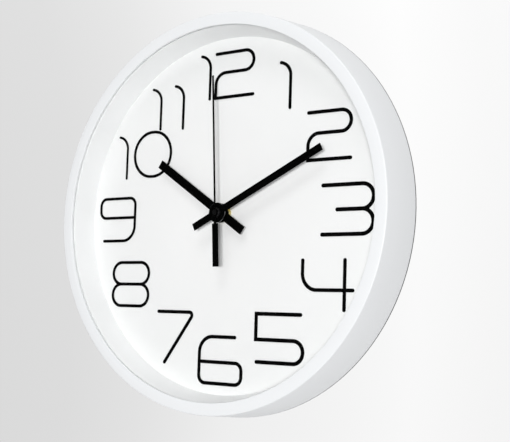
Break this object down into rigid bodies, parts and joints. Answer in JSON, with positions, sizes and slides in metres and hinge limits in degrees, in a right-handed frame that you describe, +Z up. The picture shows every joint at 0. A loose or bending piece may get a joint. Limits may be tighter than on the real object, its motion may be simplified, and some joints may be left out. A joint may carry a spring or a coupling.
{
  "type": "wall clock",
  "caption": "Round quartz wall clock: white moulded case with flat bezel, clear lens, raised black numerals, bar hands, geared battery movement and keyhole hanger.",
  "frame": {"origin": "centre of the keyhole's round entry hole, on the wall plane behind the clock", "axes": "+Z up to 12 o'clock, +X to 3 o'clock as the dial is read, +Y into the wall; the dial faces -Y and the hands turn about an axis 104 mm below the origin"},
  "size_m": [0.3056, 0.042, 0.3056],
  "materials": {
    "white_shell": "satin moulded",
    "white_ring": "fine matt",
    "white_dial": "matt",
    "clear_lens": "polished clear",
    "black_numeral": "semi-gloss",
    "grey_cover": "fine spark texture",
    "screw_steel": "zinc plated",
    "black_hand": "black lacquer",
    "dark_collet": "blackened",
    "case_plastic": "matt moulded",
    "neck_brass": "turned",
    "black_rubber": "matt",
    "copper_wire": "enamelled",
    "white_nylon": "natural",
    "core_steel": "punched",
    "magnet": "ground",
    "gear_plastic": "natural",
    "knob_plastic": "matt",
    "board_green": "solder mask",
    "chip_black": "resin",
    "can_steel": "drawn",
    "cell_label": "printed sleeve, plain",
    "contact_nickel": "nickel plated"
  },
  "bodies": {
    "root": {"front_housing": "white_shell", "lens": "clear_lens", "inner_ring": "white_ring", "dial": "white_dial", "numeral_1": "black_numeral", "numeral_2": "black_numeral", "numeral_3": "black_numeral", "numeral_4": "black_numeral", "numeral_5": "black_numeral", "numeral_6": "black_numeral", "numeral_7": "black_numeral", "numeral_8": "black_numeral", "numeral_9": "black_numeral", "numeral_10": "black_numeral", "numeral_11": "black_numeral", "numeral_12": "black_numeral", "back_cover": "grey_cover", "cover_screws": "screw_steel", "movement_case": "case_plastic", "movement_cover": "case_plastic", "threaded_bushing": "neck_brass", "hex_nut": "neck_brass", "washer": "neck_brass", "rubber_washer": "black_rubber", "coil": "copper_wire", "coil_bobbin": "white_nylon", "stator": "core_steel", "circuit_board": "board_green", "control_chip": "chip_black", "quartz_crystal": "can_steel", "positive_contact": "contact_nickel", "negative_contact": "contact_nickel"},
    "hour_arbor": {"hour_hand": "black_hand", "hour_collet": "dark_collet", "hour_wheel": "gear_plastic"},
    "minute_arbor": {"minute_hand": "black_hand", "minute_collet": "dark_collet", "cannon_pinion": "gear_plastic"},
    "second_arbor": {"second_hand": "black_hand", "second_tube": "dark_collet", "second_wheel": "gear_plastic"},
    "rotor_arbor": {"rotor": "gear_plastic", "rotor_magnet": "magnet"},
    "intermediate_arbor": {"intermediate_wheel": "gear_plastic"},
    "third_arbor": {"third_wheel": "gear_plastic"},
    "centre_arbor": {"centre_wheel": "gear_plastic"},
    "motion_arbor": {"minute_wheel": "gear_plastic"},
    "knob_arbor": {"setting_knob": "knob_plastic"},
    "cell": {"battery": "cell_label"}
  },
  "joints": [
    {"name": "minute_hand_turn", "type": "hinge", "parent": "root", "child": "minute_arbor", "pos_m": [0, -0.0293, -0.104], "axis": [0, 1, 0], "continuous": true},
    {"name": "hour_hand_turn", "type": "hinge", "parent": "root", "child": "hour_arbor", "pos_m": [0, -0.0252, -0.104], "axis": [0, 1, 0], "continuous": true},
    {"name": "minute_wheel_turn", "type": "hinge", "parent": "root", "child": "motion_arbor", "pos_m": [0.00752, -0.0145, -0.10674], "axis": [0, 1, 0], "continuous": true},
    {"name": "setting_knob_turn", "type": "hinge", "parent": "root", "child": "knob_arbor", "pos_m": [0.01579, -0.005, -0.10528], "axis": [0, 1, 0], "continuous": true},
    {"name": "second_hand_turn", "type": "hinge", "parent": "root", "child": "second_arbor", "pos_m": [0, -0.0322, -0.104], "axis": [0, 1, 0], "continuous": true},
    {"name": "rotor_turn", "type": "hinge", "parent": "root", "child": "rotor_arbor", "pos_m": [0.00959, -0.0065, -0.08739], "axis": [0, 1, 0], "continuous": true},
    {"name": "intermediate_wheel_turn", "type": "hinge", "parent": "root", "child": "intermediate_arbor", "pos_m": [0.005, -0.009, -0.09534], "axis": [0, 1, 0], "continuous": true},
    {"name": "third_wheel_turn", "type": "hinge", "parent": "root", "child": "third_arbor", "pos_m": [-0.00795, -0.0115, -0.09941], "axis": [0, 1, 0], "continuous": true},
    {"name": "centre_wheel_turn", "type": "hinge", "parent": "root", "child": "centre_arbor", "pos_m": [0, -0.0128, -0.104], "axis": [0, 1, 0], "continuous": true},
    {"name": "battery_slide", "type": "slide", "parent": "root", "child": "cell", "axis": [0, 1, 0], "range_m": [0, 0.02]}
  ],
  "couplings": [
    {"joint": "hour_hand_turn", "follows": "minute_hand_turn", "ratio": 0.083333},
    {"joint": "minute_wheel_turn", "follows": "minute_hand_turn", "ratio": -0.33333},
    {"joint": "setting_knob_turn", "follows": "minute_hand_turn", "ratio": 0.83333},
    {"joint": "intermediate_wheel_turn", "follows": "second_hand_turn", "ratio": -4},
    {"joint": "rotor_turn", "follows": "second_hand_turn", "ratio": 30},
    {"joint": "third_wheel_turn", "follows": "second_hand_turn", "ratio": -0.13333},
    {"joint": "centre_wheel_turn", "follows": "second_hand_turn", "ratio": 0.016667}
  ]
}
